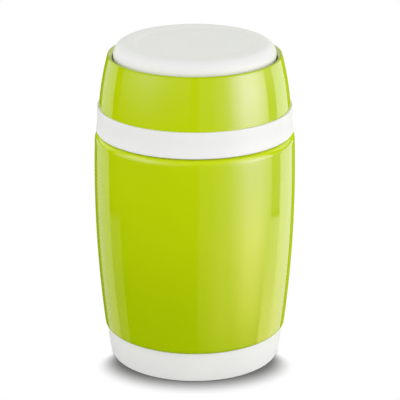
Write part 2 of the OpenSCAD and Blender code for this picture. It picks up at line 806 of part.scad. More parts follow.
// Deep-drawn and lacquered steel lid: bowed side, sharp turned rim and a recess for the cap
module lid_shell() {
    color(lime) revolve() polygon(tidy(concat(lid_side(0), reversed(lid_side(lid_t)))));
}

// Moulded cap in the recess, the foot of the bowl when the lid is turned over: full round upper
// edge, shallow dish in the top, hollow and ribbed below
module lid_cap() {
    in_edge_r = cap_edge_r - cap_t;
    in_r = cap_r - cap_t;
    dish_r = cap_r - cap_edge_r - dish_border_w;
    dish_in_r = dish_r - dish_slope_w;
    ring_rib_r = dish_in_r / 2;
    // the sloping border of the dish, an even S-curve
    border = [for (i = [0:turn_steps])
        [dish_r - dish_slope_w * i / turn_steps,
            cap_top_z - dish_h * (1 - cos(180 * i / turn_steps)) / 2]];
    outline = concat(
        [[cap_foot_r - cap_t, cap_z], [cap_foot_r, cap_z]],
        arc([cap_r - cap_edge_r, cap_edge_z], cap_edge_r, 0, 90),
        border,
        [[0, cap_top_z - dish_h], [0, cap_roof_z]],
        arc([in_r - in_edge_r, cap_roof_z - in_edge_r], in_edge_r, 90, 0)
    );
    color(white) union() {
        revolve() polygon(tidy(outline));
        for (i = [0:cap_ribs - 1]) rotate(i * 360 / cap_ribs)
            translate([ring_rib_r, -rib_t / 2, cap_rib_z])
                cube([cap_foot_r - cap_t / 2 - ring_rib_r, rib_t, cap_roof_z - cap_rib_z + eps]);
        difference() {
            translate([0, 0, cap_rib_z])
                cylinder(r = ring_rib_r + rib_t / 2, h = cap_roof_z - cap_rib_z + eps);
            translate([0, 0, cap_z]) cylinder(r = ring_rib_r - rib_t / 2, h = cap_roof_z - cap_z);
        }
    }
}

outer_shell();
inner_vessel();
closing_plate();
getter();
evacuation_seal();
neck_ring();
base_cup();
stopper_seal();
stopper_body();
stopper_cover();
stopper_foam();
vent_button();
vent_valve();
vent_spring();
lid_gasket();
lid_collar();
lid_bowl();
lid_foam();
lid_shell();
lid_cap();
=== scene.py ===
import math

import bmesh
import bpy
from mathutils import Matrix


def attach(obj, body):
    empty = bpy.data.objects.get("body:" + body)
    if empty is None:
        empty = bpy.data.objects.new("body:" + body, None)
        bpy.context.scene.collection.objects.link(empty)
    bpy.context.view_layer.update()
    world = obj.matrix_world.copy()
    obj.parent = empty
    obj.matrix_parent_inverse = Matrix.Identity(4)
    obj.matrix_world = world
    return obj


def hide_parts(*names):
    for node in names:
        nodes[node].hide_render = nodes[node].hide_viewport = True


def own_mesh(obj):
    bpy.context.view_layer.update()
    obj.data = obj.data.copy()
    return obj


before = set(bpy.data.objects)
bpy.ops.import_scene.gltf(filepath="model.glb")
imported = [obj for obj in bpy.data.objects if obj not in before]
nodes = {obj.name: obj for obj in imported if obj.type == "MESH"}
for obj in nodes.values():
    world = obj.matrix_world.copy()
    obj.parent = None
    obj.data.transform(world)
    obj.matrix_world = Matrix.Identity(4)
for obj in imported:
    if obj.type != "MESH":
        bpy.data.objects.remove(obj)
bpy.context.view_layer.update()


# ---------------------------------------------------------------- outer body
# The outer body is one cup of 0.6 mm steel, drawn and bulged, with its foot turned in for the base
# and its shoulder drawn in to a plain neck. It is sprayed with lime lacquer and baked.


def drawn(start, strokes):
    """Draws half a section in millimetres, r across and z up. A stroke (r, z) is a straight line to
    that point, and (r, z, degrees, steps) swings the pen about the centre (r, z)."""
    bm = bmesh.new()
    pen = bm.verts.new((start[0], 0, start[1]))
    for r, z, *swing in strokes:
        if swing:
            swept = bmesh.ops.spin(
                bm, geom=[pen], cent=(r, 0, z), axis=(0, -1, 0),
                angle=math.radians(swing[0]), steps=swing[1],
            )
            pen = next(v for v in swept["geom_last"] if isinstance(v, bmesh.types.BMVert))
        else:
            pen = bmesh.ops.extrude_vert_indiv(bm, verts=[pen])["verts"][0]
            pen.co = (r, 0, z)
    return bm, pen


def in_metres(bm):
    """Scales a mesh drawn in millimetres."""
    bmesh.ops.scale(bm, verts=bm.verts, vec=(0.001, 0.001, 0.001))


def turned(start, strokes, steps=192, solid=True):
    """Spins a drawn section a full turn about Z, in metres. A solid section is closed first; a
    sheet stays one skin, its faces away from the axis."""
    bm, pen = drawn(start, strokes)
    bm.verts.ensure_lookup_table()
    if solid:
        bm.edges.new((pen, bm.verts[0]))
    bmesh.ops.spin(
        bm, geom=bm.verts[:] + bm.edges[:], cent=(0, 0, 0), axis=(0, 0, 1),
        angle=math.tau, steps=steps, use_merge=True,
    )
    bmesh.ops.remove_doubles(bm, verts=bm.verts, dist=0.001)
    bmesh.ops.recalc_face_normals(bm, faces=bm.faces)
    widest = max(bm.faces, key=lambda face: face.calc_center_median().xy.length)
    if not solid and widest.normal.dot(widest.calc_center_median()) < 0:
        bmesh.ops.reverse_faces(bm, faces=bm.faces)
    in_metres(bm)
    return bm


def placed(name, bm, material):
    """Makes the mesh an object of one material, in the scene."""
    mesh = bpy.data.meshes.new(name)
    bm.to_mesh(mesh)
    bm.free()
    mesh.materials.append(material)
    piece = bpy.data.objects.new(name, mesh)
    bpy.context.scene.collection.objects.link(piece)
    return piece


def finished(name, bm, material, sheet=0):
    """Makes the mesh a smooth piece with its sharp turns kept. A sheet gets its thickness
    inwards."""
    sharp_turn = math.radians(35)
    for face in bm.faces:
        face.smooth = True
    for edge in bm.edges:
        edge.smooth = not edge.is_manifold or edge.calc_face_angle() < sharp_turn
    piece = placed(name, bm, material)
    if sheet:
        wall = piece.modifiers.new("Sheet", "SOLIDIFY")
        wall.thickness = sheet
        wall.offset = -1
        wall.use_even_offset = True
    even = piece.modifiers.new("Even shading", "WEIGHTED_NORMAL")
    even.keep_sharp = True
    return piece


def put(tree, kind, sockets=None, **settings):
    """Adds a shader node. Each socket is given a value or joined to another node's socket."""
    added = tree.nodes.new("ShaderNode" + kind)
    for label, value in settings.items():
        setattr(added, label, value)
    for label, value in (sockets or {}).items():
        if isinstance(value, bpy.types.NodeSocket):
            tree.links.new(value, added.inputs[label])
        else:
            added.inputs[label].default_value = value
    return added


def number(tree, operation, *values):
    """Works out one number from others."""
    return put(tree, "Math", dict(enumerate(values)), operation=operation).outputs[0]


def vector(tree, operation, *values):
    """Works out one vector from others."""
    return put(tree, "VectorMath", dict(enumerate(values)), operation=operation).outputs[0]


def length(tree, value):
    """Gives a vector's length."""
    return put(tree, "VectorMath", {0: value}, operation="LENGTH").outputs["Value"]


def own_place(tree):
    """Gives the point on the piece, in its own metres."""
    return put(tree, "TexCoord").outputs["Object"]


def height(tree, place):
    """Gives how high a point is."""
    return put(tree, "SeparateXYZ", {0: place}).outputs[2]


def flattened(tree, place):
    """Drops a point to the ground, so that its length is how far it is from the jar's axis."""
    return vector(tree, "MULTIPLY", place, (1, 1, 0))


def spread(tree, value, low, high, start=0.0, end=1.0):
    """Goes evenly from low to high as the value goes from start to end."""
    ends = {"From Min": start, "From Max": end, "To Min": low, "To Max": high}
    return put(tree, "MapRange", {"Value": value, **ends}).outputs["Result"]


def eased(tree, value, start, end):
    """Goes softly from 0 to 1 as the value goes from start to end."""
    ends = {"Value": value, "From Min": start, "From Max": end}
    return put(tree, "MapRange", ends, interpolation_type="SMOOTHSTEP").outputs["Result"]


def shaded(tree, mask, low, high):
    """Mixes two colours by a mask."""
    return put(tree, "Mix", {0: mask, 6: low, 7: high}, data_type="RGBA").outputs[2]


def raised(tree, bumps, depth):
    """Turns bumps from 0..1 into a relief of that depth in metres; a depth below 0 sinks them."""
    sockets = {"Height": bumps, "Strength": 1.0, "Distance": depth}
    return put(tree, "Bump", sockets).outputs["Normal"]


def started_group(name, inputs, output):
    """Starts a shared effect: a node group with number inputs and one number output."""
    tree = bpy.data.node_groups.new(name, "ShaderNodeTree")
    for label, value in inputs.items():
        made = tree.interface.new_socket(label, in_out="INPUT", socket_type="NodeSocketFloat")
        made.default_value = value
    tree.interface.new_socket(output, in_out="OUTPUT", socket_type="NodeSocketFloat")
    given = tree.nodes.new("NodeGroupInput").outputs
    gives = tree.nodes.new("NodeGroupOutput").inputs
    return tree, given, gives


def with_effect(tree, group, **inputs):
    """Adds a shared effect to a material and gives its output."""
    added = tree.nodes.new("ShaderNodeGroup")
    added.node_tree = group
    for label, value in inputs.items():
        added.inputs[label].default_value = value
    return added.outputs[0]


def started_material(name, **finish):
    """Starts a material and sets the plain values on its shader; underscores stand for spaces."""
    made = bpy.data.materials.new(name)
    made.use_nodes = True
    shader = made.node_tree.nodes["Principled BSDF"]
    for label, value in finish.items():
        shader.inputs[label.replace("_", " ")].default_value = value
    return made, made.node_tree, shader.inputs


def covered(tree, surface, **looks):
    """Joins what changes over the surface to the shader; underscores stand for spaces."""
    for label, source in looks.items():
        tree.links.new(source, surface[label.replace("_", " ")])


# Slow clouds: soft patches, as a film or a melt is never quite even
slow_clouds, given, gives = started_group("Slow clouds", {"Scale": 30.0}, "Mask")
noise = {"Vector": own_place(slow_clouds), "Scale": given["Scale"], "Detail": 2.0, "Roughness": 0.5}
cloud = put(slow_clouds, "TexNoise", noise).outputs[0]
slow_clouds.links.new(eased(slow_clouds, cloud, 0.3, 0.7), gives["Mask"])

# Fine skin: the small waves of a sprayed film or the grain of a mould
fine_skin, given, gives = started_group("Fine skin", {"Scale": 700.0, "Roughness": 0.4}, "Height")
noise = {"Vector": own_place(fine_skin), "Scale": given["Scale"]}
noise |= {"Detail": 3.0, "Roughness": given["Roughness"]}
fine_skin.links.new(put(fine_skin, "TexNoise", noise).outputs[0], gives["Height"])

# Wiped: faint marks round the piece, left by a cloth or a hand
wiped, given, gives = started_group("Wiped", {"Scale": 60.0, "Stretch": 9.0}, "Mask")
across = put(wiped, "CombineXYZ", {0: 1.0, 1: 1.0, 2: given["Stretch"]}).outputs[0]
strokes = vector(wiped, "MULTIPLY", own_place(wiped), across)
noise = {"Vector": strokes, "Scale": given["Scale"], "Detail": 4.0, "Roughness": 0.62}
marks = put(wiped, "TexNoise", noise).outputs[0]
wiped.links.new(spread(wiped, marks, 0.0, 1.0, start=0.35, end=0.75), gives["Mask"])

lacquer, tree, surface = started_material("Lime lacquer", Roughness=0.06, IOR=1.5)
place = own_place(tree)
level = height(tree, place)
clouds = with_effect(tree, slow_clouds, Scale=28.0)

# The lime is painted darker towards the foot and darker still on the hem: painted shade, as less
# light reaches the lower body and the turned-in hem
foot_level, head_level = 0.02, 0.115
side_level, hem_level = 0.0182, 0.0150
head = eased(tree, level, foot_level, head_level)
shaded_foot_lime = shaded(tree, clouds, (0.413, 0.560, 0.001, 1), (0.426, 0.572, 0.001, 1))
lit_head_lime = shaded(tree, clouds, (0.468, 0.598, 0.001, 1), (0.482, 0.611, 0.002, 1))
lime_with_painted_light = shaded(tree, head, shaded_foot_lime, lit_head_lime)
# painted shade along the hem
hem = eased(tree, level, side_level, hem_level)
lime_with_painted_light = shaded(tree, hem, lime_with_painted_light, (0.320, 0.445, 0.001, 1))

# It is painted lighter on the shoulder's top: painted light that offsets the shade under the collar
shoulder_level, shoulder_top_level, lid_level = 0.1122, 0.1148, 0.1180
shoulder = eased(tree, level, shoulder_level, shoulder_top_level)
on_body = number(tree, "LESS_THAN", level, lid_level)
# painted light on the shoulder under the collar
lime_with_painted_light = shaded(tree, number(tree, "MULTIPLY", shoulder, on_body), lime_with_painted_light, (0.60, 0.735, 0.004, 1))

# The gutter wall is painted pale, a painted reflection of the white cap and painted light in the
# gutter, and the turned rim is painted dark, a painted shade line
rim_reach, gutter_reach, gutter_level = 0.0418, 0.0411, 0.1518
wall_level, rim_level = 0.1527, 0.1530
inside_rim = eased(tree, length(tree, flattened(tree, place)), rim_reach, gutter_reach)
up_in_lid = number(tree, "GREATER_THAN", level, gutter_level)
gutter = number(tree, "MULTIPLY", inside_rim, up_in_lid)
# painted reflection and light on the gutter wall
lime_with_painted_light = shaded(tree, gutter, lime_with_painted_light, (0.68, 0.71, 0.34, 1))
crest = eased(tree, level, wall_level, rim_level)
outside = number(tree, "SUBTRACT", 1.0, inside_rim)
rim = number(tree, "MULTIPLY", crest, outside)
# painted shade along the turned rim
lime_with_painted_light = shaded(tree, rim, lime_with_painted_light, (0.39, 0.525, 0.001, 1))
# The gloss tint is raised towards the foot, a painted highlight on the lower body, and nearly cut
# on the rim, where it deepens the painted shade
painted_sheen_tint = shaded(tree, head, (3.2, 2.0, 0.85, 1), (0.68, 0.42, 1.0, 1))
painted_sheen_tint = shaded(tree, rim, painted_sheen_tint, (0.1, 0.1, 0.05, 1))
covered(
    tree, surface, Base_Color=lime_with_painted_light, Specular_Tint=painted_sheen_tint,
    Roughness=spread(tree, with_effect(tree, wiped, Scale=45.0), low=0.05, high=0.085),
    Normal=raised(tree, with_effect(tree, fine_skin, Scale=620.0), depth=0.000002),
)

bow_centre = (-566, 89)
body_skin = turned(
    (42.335, 15.5),
    [
        (43.527, 15.5),  # the foot, turned in
        (43.527, 16.7, 83.235, 10),
        (*bow_centre, 8.874, 44),  # the bowed side
        (45.086, 111.5, 87.891, 14),  # the shoulder
        (40.75, 115),
        (40.75, 116.2, -90, 6),
        (39.55, 129.7),  # the neck
    ],
    steps=240,
    solid=False,
)
outer_body = finished("outer_body", body_skin, lacquer, sheet=0.0006)
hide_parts("outer_shell")
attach(outer_body, "flask")


# ---------------------------------------------------------------- base cup
# The base is one cup of white polypropylene, moulded with a bowed side, a hollow underside and a
# narrow ring to stand on. Its spigot snaps through the steel hem.

white, tree, surface = started_material(
    "White polypropylene", Roughness=0.5, Specular_IOR_Level=0.2,
    Subsurface_Weight=0.05, Subsurface_Scale=0.001,
)
melt = with_effect(tree, slow_clouds, Scale=40.0)
mould_grain = with_effect(tree, fine_skin, Scale=1500.0, Roughness=0.5)
covered(
    tree, surface,
    Base_Color=shaded(tree, melt, (0.770, 0.770, 0.760, 1), (0.785, 0.785, 0.775, 1)),
    Roughness=spread(tree, with_effect(tree, wiped, Scale=70.0), low=0.47, high=0.53),
    Normal=raised(tree, mould_grain, depth=0.0000006),
)

cup = turned(
    (0, 1.4),
    [
        (35.728, 1.4),  # the hollow underside
        (36.628, 0.2),
        (36.9, 0),
        (40.828, 0),  # the ring it stands on
        (40.828, 0.8, 75.634, 8),
        (-10.708, 14, 15.55, 24),  # the bowed side
        (43.06, 15.193, 84, 5),
        (42.235, 15.4),
        (42.235, 17.4),  # the spigot
        (41.685, 18),
        (40.035, 18),
        (40.035, 5.8),
        (37.835, 5.8, -90, 6),
        (0, 3.6),
    ],
    steps=240,
)
base = finished("base", cup, white)
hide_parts("base_cup")
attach(base, "flask")


# ---------------------------------------------------------------- closing plate, getter, seal
# A pressed steel plate closes the vacuum space. It carries the getter capsule, and a drop of glass
# solder seals the hole that the air was drawn through. All three are hidden by the base.


def refinished(finish, *names):
    """Gives a finish to CAD nodes that keep their shape."""
    for name in names:
        slots = nodes[name].data.materials
        slots.clear()
        slots.append(finish)


# Turned marks: fine rings round the axis, as spinning, polishing and wire drawing leave them
turned_marks, given, gives = started_group("Turned marks", {"Scale": 2600.0}, "Height")
place = own_place(turned_marks)
flat = flattened(turned_marks, place)
way_round = vector(turned_marks, "NORMALIZE", flat)
round_scale, out_scale = 2.2, 0.83
around = put(turned_marks, "VectorMath", {0: way_round, "Scale": round_scale}, operation="SCALE")
out, up = length(turned_marks, flat), height(turned_marks, place)
along = number(turned_marks, "MULTIPLY_ADD", out, out_scale, up)
fine = number(turned_marks, "MULTIPLY", along, given["Scale"])
lift = put(turned_marks, "CombineXYZ", {2: fine}).outputs[0]
noise = {"Vector": vector(turned_marks, "ADD", around.outputs[0], lift)}
noise |= {"Scale": 1.0, "Detail": 4.0, "Roughness": 0.7}
turned_marks.links.new(put(turned_marks, "TexNoise", noise).outputs[0], gives["Height"])

steel, tree, surface = started_material("Satin steel", Metallic=1.0, Roughness=0.3)
marks = with_effect(tree, turned_marks, Scale=3200.0)
covered(
    tree, surface,
    Base_Color=shaded(tree, marks, (0.55, 0.545, 0.535, 1), (0.68, 0.675, 0.665, 1)),
    Roughness=spread(tree, marks, low=0.24, high=0.38),
    Normal=raised(tree, marks, depth=0.000004),
)

glass, tree, surface = started_material("Solder glass", Roughness=0.12, IOR=1.6)
bubbles = put(tree, "TexVoronoi", {"Vector": own_place(tree), "Scale": 1800.0}).outputs[0]
covered(
    tree, surface,
    Base_Color=shaded(tree, bubbles, (0.10, 0.105, 0.13, 1), (0.045, 0.05, 0.06, 1)),
    Normal=raised(tree, bubbles, depth=0.00001),
)

refinished(steel, "closing_plate", "getter")
refinished(glass, "evacuation_seal")


# ---------------------------------------------------------------- food vessel
# The food vessel is 0.5 mm steel, drawn and bulged inside the body. Its lip is rolled outwards over
# the neck, and the stopper's thread is rolled into its mouth.


def wound(bm, section, low, rise, turns):
    """Winds a thread round Z from the height low. The section is (r, up) corners in millimetres,
    root first and last, and both ends run out into the wall."""
    steps_a_turn = 72
    run_out_steps, run_out_power, least_share = 9, 0.6, 0.02
    steps = round(steps_a_turn * turns)
    root = section[0][0]
    first = [bm.verts.new((r, 0, low + up)) for r, up in section]
    face = bm.faces.new(first)
    before = set(bm.verts) - set(first)
    bmesh.ops.spin(
        bm, geom=first + face.edges[:] + [face], cent=(0, 0, 0), axis=(0, 0, 1),
        dvec=(0, 0, rise / steps), angle=turns * math.tau, steps=steps,
    )
    ridge = [v for v in bm.verts if v not in before]
    for order, vert in enumerate(ridge):
        ring = order // len(section)
        near_end = min(ring, steps - ring) / run_out_steps
        share = max(min(1.0, near_end) ** run_out_power, least_share)
        reach = vert.co.xy.length
        vert.co.xy *= (root + (reach - root) * share) / reach
    faces = list({f for v in ridge for f in v.link_faces})
    bmesh.ops.recalc_face_normals(bm, faces=faces)
    for vert in ridge:
        vert.co *= 0.001


vessel_skin = turned(
    (0, 24.5),
    [
        (31.866, 24.5),
        (31.866, 35, 84.839, 14),
        (*bow_centre, 6.778, 30),  # the bulged side
        (39.859, 106.1, 88.383, 10),
        (39.6, 110.8),
        (39.6, 112.3, -90, 8),
        (38.1, 129.725),  # the mouth
        (38.875, 129.725, -180, 14),  # the rolled lip
        (39.65, 128.725),
    ],
    solid=False,
)
vessel = finished("food_vessel", vessel_skin, steel, sheet=0.0005)
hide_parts("inner_vessel")
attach(vessel, "flask")

rolled_thread = bmesh.new()
rolled_ridge = [(37.65, -1.5), (37.2, -0.9), (36.88, 0), (37.2, 0.9), (37.65, 1.5)]
wound(rolled_thread, rolled_ridge, low=114.5, rise=5.2, turns=1.3)
mouth_thread = finished("mouth_thread", rolled_thread, steel)
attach(mouth_thread, "flask")


# ---------------------------------------------------------------- neck ring
# A moulded white ring is snapped over the steel neck and rests on the shoulder. The lid screws onto
# its thread.

ring = turned(
    (40.85, 115.1),
    [
        (43.5, 115.1),
        (43.5, 115.3, 90, 4),
        (43.7, 116.4),
        (43.2, 116.4, 90, 6),
        (42.7, 116.9),
        (42.7, 117.3, -90, 5),
        (42.3, 126.2),  # the wall that takes the thread
        (41.8, 126.2, 90, 6),
        (40.0, 126.7),
        (39.65, 126.35),
        (39.65, 116.3),
    ],
)
lid_thread = {"low": 118.9, "rise": 5.6, "turns": 1.4}  # the same for the ring and the collar
outer_ridge = [
    (42.25, -1.25), (43.0, -0.55), (43.1, -0.35), (43.1, 0.35), (43.0, 0.55), (42.25, 1.25),
]
wound(ring, outer_ridge, **lid_thread)
neck_ring = finished("neck_ring_threaded", ring, white)
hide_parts("neck_ring")
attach(neck_ring, "flask")


# ---------------------------------------------------------------- stopper
# The stopper is a moulded plug with a thread, a flange and a grip rim with 24 finger flutes. A well
# in its deck takes the vent button. A cover is welded on below, over a ring of rigid foam.

rim_r = 40.25
plug = turned(
    (34.0, 109.6),
    [
        (35.8, 109.6),
        (35.8, 132.5),  # the wall that takes the thread
        (36.2, 132.9),
        (39.45, 132.9),  # the flange
        (39.45, 133.7, 90, 6),
        (rim_r, 134.8),
        (rim_r, 134.9),
        (rim_r, 136.3),
        (rim_r, 137.7),
        (39.45, 137.7, 90, 8),  # the grip rim's rounded top
        (38.25, 138.5),
        (38.25, 137.7, 90, 8),
        (36.95, 135.4),
        (36.35, 134.9),
        (12.0, 134.9),  # the deck
        (11.5, 135.3),
        (10.9, 137.7),
        (10.1, 137.7, 90, 6),
        (9.6, 138.5),
        (9.3, 138.2),
        (9.3, 129.5),  # the well
        (3.1, 129.5),
        (3.1, 109.6),  # the guide tube
        (4.7, 109.6),
        (4.7, 127.9),
        (10.9, 127.9),
        (10.9, 132.9),
        (34.0, 132.9),
    ],
    steps=288,
)
flutes = 24
flute_foot = 0.13485
flute_depth = 0.9
cutter_r = 3.5
cutter_x = rim_r + cutter_r - flute_depth
for vert in plug.verts:
    turn = math.atan2(vert.co.y, vert.co.x) + math.pi / flutes
    off_centre = turn % (math.tau / flutes) - math.pi / flutes
    aside = cutter_x * math.sin(off_centre)
    if vert.co.z > flute_foot and abs(aside) < cutter_r:
        cut = cutter_x * math.cos(off_centre) - math.sqrt(cutter_r**2 - aside**2)
        cut *= 0.001
        if vert.co.xy.length > cut:
            vert.co.xy *= cut / vert.co.xy.length
plug_ridge = [
    (35.75, -1.3), (36.45, -0.5), (36.6, -0.3), (36.6, 0.3), (36.45, 0.5), (35.75, 1.3),
]
wound(plug, plug_ridge, low=113.2, rise=5.0, turns=1.25)
stopper = finished("stopper", plug, white)
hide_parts("stopper_body")
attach(stopper, "stopper")

foam, tree, surface = started_material("Rigid foam", Roughness=0.85)
beads = put(tree, "TexVoronoi", {"Vector": own_place(tree), "Scale": 520.0}).outputs[0]
covered(
    tree, surface,
    Base_Color=shaded(tree, beads, (0.88, 0.87, 0.82, 1), (0.76, 0.75, 0.70, 1)),
    Normal=raised(tree, beads, depth=-0.0002),
)

refinished(white, "stopper_cover")
refinished(foam, "stopper_foam")


# ---------------------------------------------------------------- stopper seal
# The seal is a soft ring of translucent silicone, moulded in one piece. It is stretched on under
# the stopper's flange and closes on the rolled lip.

silicone, tree, surface = started_material(
    "Clear silicone", Roughness=0.42, IOR=1.42, Subsurface_Weight=0.35, Subsurface_Scale=0.002,
)
milk = with_effect(tree, slow_clouds, Scale=60.0)
covered(
    tree, surface,
    Base_Color=shaded(tree, milk, (0.66, 0.68, 0.66, 1), (0.72, 0.74, 0.72, 1)),
    Roughness=spread(tree, with_effect(tree, wiped, Scale=90.0), low=0.36, high=0.5),
    Normal=raised(tree, with_effect(tree, fine_skin, Scale=1800.0), depth=0.000005),
)

seal_ring = turned(
    (35.9, 131.3),
    [
        (36.6, 131.3),
        (36.9, 131.55),
        (37.9, 131.55),
        (38.2, 131.3),
        (39.4, 131.3),
        (39.4, 132.05, 180, 12),
        (36.25, 132.8),
        (35.9, 132.45),
    ],
)
stopper_seal = finished("stopper_seal_ring", seal_ring, silicone)
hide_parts("stopper_seal")
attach(stopper_seal, "seal")


# ---------------------------------------------------------------- vent button, valve and spring
# The push button stands on a steel spring in its well. Its cross-shaped stem runs down the guide
# tube and holds a rubber valve against the cover, so a press lets air into the jar.

wire, tree, surface = started_material("Spring wire", Metallic=1.0, Roughness=0.18)
drawing = with_effect(tree, turned_marks, Scale=5200.0)
covered(
    tree, surface,
    Base_Color=shaded(tree, drawing, (0.36, 0.36, 0.37, 1), (0.52, 0.52, 0.54, 1)),
    Roughness=spread(tree, drawing, low=0.14, high=0.26),
)

refinished(white, "vent_button")
refinished(silicone, "vent_valve")

# The wire's round end is drawn, and then swept up: a close turn, three open ones and a close one
coil_r, wire_r, foot_z = 5.5, 0.35, 129.95
wire_sides, steps_a_turn = 14, 64
coil = drawn(
    (coil_r + wire_r, foot_z),
    [(coil_r, foot_z, 360 - 360 / wire_sides, wire_sides - 1)],
)[0]
end = coil.faces.new(coil.verts)
tip = end.verts[:] + end.edges[:]
for turns, rise in ((1, 0.77), (3, 5.76), (1, 0.77)):
    steps = steps_a_turn * turns
    tip = bmesh.ops.spin(
        coil, geom=tip, cent=(0, 0, 0), axis=(0, 0, 1),
        dvec=(0, 0, rise / steps), angle=turns * math.tau, steps=steps,
    )["geom_last"]
bmesh.ops.contextual_create(coil, geom=tip)
bmesh.ops.recalc_face_normals(coil, faces=coil.faces)
in_metres(coil)
spring = finished("spring", coil, wire)
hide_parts("vent_spring")
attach(spring, "stopper")
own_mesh(spring)


# ---------------------------------------------------------------- lid collar
# The white band at the lid's mouth is moulded with a coved side and a rounded lower edge. A slot in
# its top holds the edge of the steel shell, and its bore carries the thread for the neck ring.

band = turned(
    (44.1, 115.75),
    [
        (44.35, 115.5),
        (46.95, 115.5),
        (46.95, 116.5, 90, 8),  # the rounded lower edge
        (77.25, 122.943, -12.403, 20),  # the coved side
        (47.25, 127.96),
        (46.91, 127.96, 90, 6),
        (46.34, 128.3),
        (46.34, 128.1),
        (46.55, 126.7),  # the slot for the shell's edge
        (45.62, 126.7),
        (45.62, 128.2),
        (44.1, 128.2),
    ],
    steps=240,
)
inner_ridge = [
    (44.15, 1.0), (43.45, 0.4), (43.36, 0.25), (43.36, -0.25), (43.45, -0.4), (44.15, -1.0),
]
wound(band, inner_ridge, **lid_thread)
collar = finished("lid_band", band, white)
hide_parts("lid_collar")
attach(collar, "lid")


# ---------------------------------------------------------------- lid gasket
# The gasket is a thin ring of moulded silicone. It lies in the collar and closes on the neck ring
# when the lid is screwed down.

refinished(silicone, "lid_gasket")


# ---------------------------------------------------------------- bowl
# The inside of the lid is a moulded white bowl, welded to the collar by its flange. A foam disc
# keeps its roof off the steel top.

side_centre = (-93.237, 116.921)
bowl_wall = turned(
    (42.989, 128.3),
    [
        (*side_centre, 5.141, 10),
        (36.496, 139.6, 80.084, 14),
        (0, 144.6),
        (0, 146.2),
        (36.496, 146.2),
        (36.496, 139.6, -80.084, 14),
        (*side_centre, -4.572, 8),
        (45.567, 129.8),  # the flange
        (45.567, 128.3),
    ],
)
bowl = finished("bowl", bowl_wall, white)
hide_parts("lid_bowl")
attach(bowl, "lid")

refinished(foam, "lid_foam")


# ---------------------------------------------------------------- lid shell
# The lid is drawn from 0.5 mm steel and lacquered with the body. Its rim is turned over tightly
# into a slanted wall, which falls to the recess that the cap stands in.

lid_skin = turned(
    (46.414, 126.8),
    [
        (*side_centre, 10.959, 28),  # the bowed side
        (41.555, 153.05, 114.995, 14),  # the turned rim
        (39.95, 152.291),
        (39.2235, 149.556),  # the gutter's wall
        (38.675, 149.8, -66, 8),
        (0, 149.2),
    ],
    steps=240,
    solid=False,
)
lid = finished("lid_shell_lacquered", lid_skin, lacquer, sheet=0.0005)
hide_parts("lid_shell")
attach(lid, "lid")


# ---------------------------------------------------------------- cap
# The white cap is a polypropylene moulding pressed into the recess, and the lid stands on it when
# it is turned over. It has a full round upper edge and a shallow dish.

cap_wall = turned(
    (38.9, 149.3),
    [
        (39.2, 153.4),
        (33.4, 153.4, 90, 20),  # the round edge
        (30.5, 159.2),
        (30.5, 151.075, 14.25, 8),
        (26.5, 166.825, -14.25, 8),
        (0, 158.7),  # the dish
        (0, 156.7),
        (33.4, 156.7),
        (33.4, 153.4, -90, 8),
        (36.9, 149.3),
    ],
    steps=240,
)
cap = finished("cap", cap_wall, white)
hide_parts("lid_cap")
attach(cap, "lid")


# ---------------------------------------------------------------- floor and studio
# The floor is a plain white sheet that keeps the jar's soft shadow, with a painted shadow added
# round the jar where the camera sees it. Tall reflector cards hang round the jar, far out, and only
# gloss sees them; the even light comes from the world and a lamp.


def emptied(made):
    """Clears the nodes of a new material or world, to build its own."""
    made.use_nodes = True
    made.node_tree.nodes.clear()
    return made.node_tree


def seen_directly(tree):
    """Is 1 for the camera's own rays, straight or through something clear, and 0 for the rest."""
    rays = put(tree, "LightPath").outputs
    return number(tree, "MAXIMUM", rays["Is Camera Ray"], rays["Is Transmission Ray"])


paper = bpy.data.materials.new("White paper")
tree = emptied(paper)
where = own_place(tree)

# An oval round the jar, reaching out further in front, holds a painted shadow: there the camera
# sees the sheet dark grey, over the jar's own shadow. Past its edge, and past the ring that the jar
# stands on, the camera sees plain white
oval_shift, oval_scale = (0, 0.0147, 0), (26.5, 41.7, 0)
inner_edge, side_edge, front_edge = 0.96, 1.01, 1.797
ring_reach, clear_reach = 0.040, 0.0425
oval = vector(tree, "MULTIPLY", vector(tree, "ADD", where, oval_shift), oval_scale)
bearing = put(tree, "SeparateXYZ", {0: vector(tree, "NORMALIZE", where)}).outputs[1]
outer_edge = spread(tree, bearing, side_edge, front_edge, start=0.0, end=-1.0)
past_painted_shadow = eased(tree, length(tree, oval), inner_edge, outer_edge)
past_ring = eased(tree, length(tree, where), ring_reach, clear_reach)
open_floor = number(tree, "MULTIPLY", past_painted_shadow, past_ring)
seen = seen_directly(tree)
# The camera sees the sheet much darker than the lights do: a painted shadow
painted_shadow_tint = shaded(tree, seen, (0.73, 0.73, 0.73, 1), (0.18, 0.18, 0.18, 1))
matt = put(tree, "BsdfDiffuse", {"Color": painted_shadow_tint})
plain = put(tree, "Emission", {"Color": (1, 1, 1, 1), "Strength": 1.0})
shown = number(tree, "MULTIPLY", open_floor, seen)
top_side = put(tree, "MixShader", {0: shown, 1: matt.outputs[0], 2: plain.outputs[0]})
under_side = put(tree, "BsdfTransparent")
side = put(tree, "NewGeometry").outputs["Backfacing"]
both = put(tree, "MixShader", {0: side, 1: top_side.outputs[0], 2: under_side.outputs[0]})
put(tree, "OutputMaterial", {"Surface": both.outputs[0]})

sheet = bmesh.new()
bmesh.ops.create_grid(sheet, x_segments=2, y_segments=2, size=4)
bmesh.ops.translate(sheet, verts=sheet.verts, vec=(0, 0, -0.0001))
floor = placed("floor", sheet, paper)
floor.visible_glossy = False


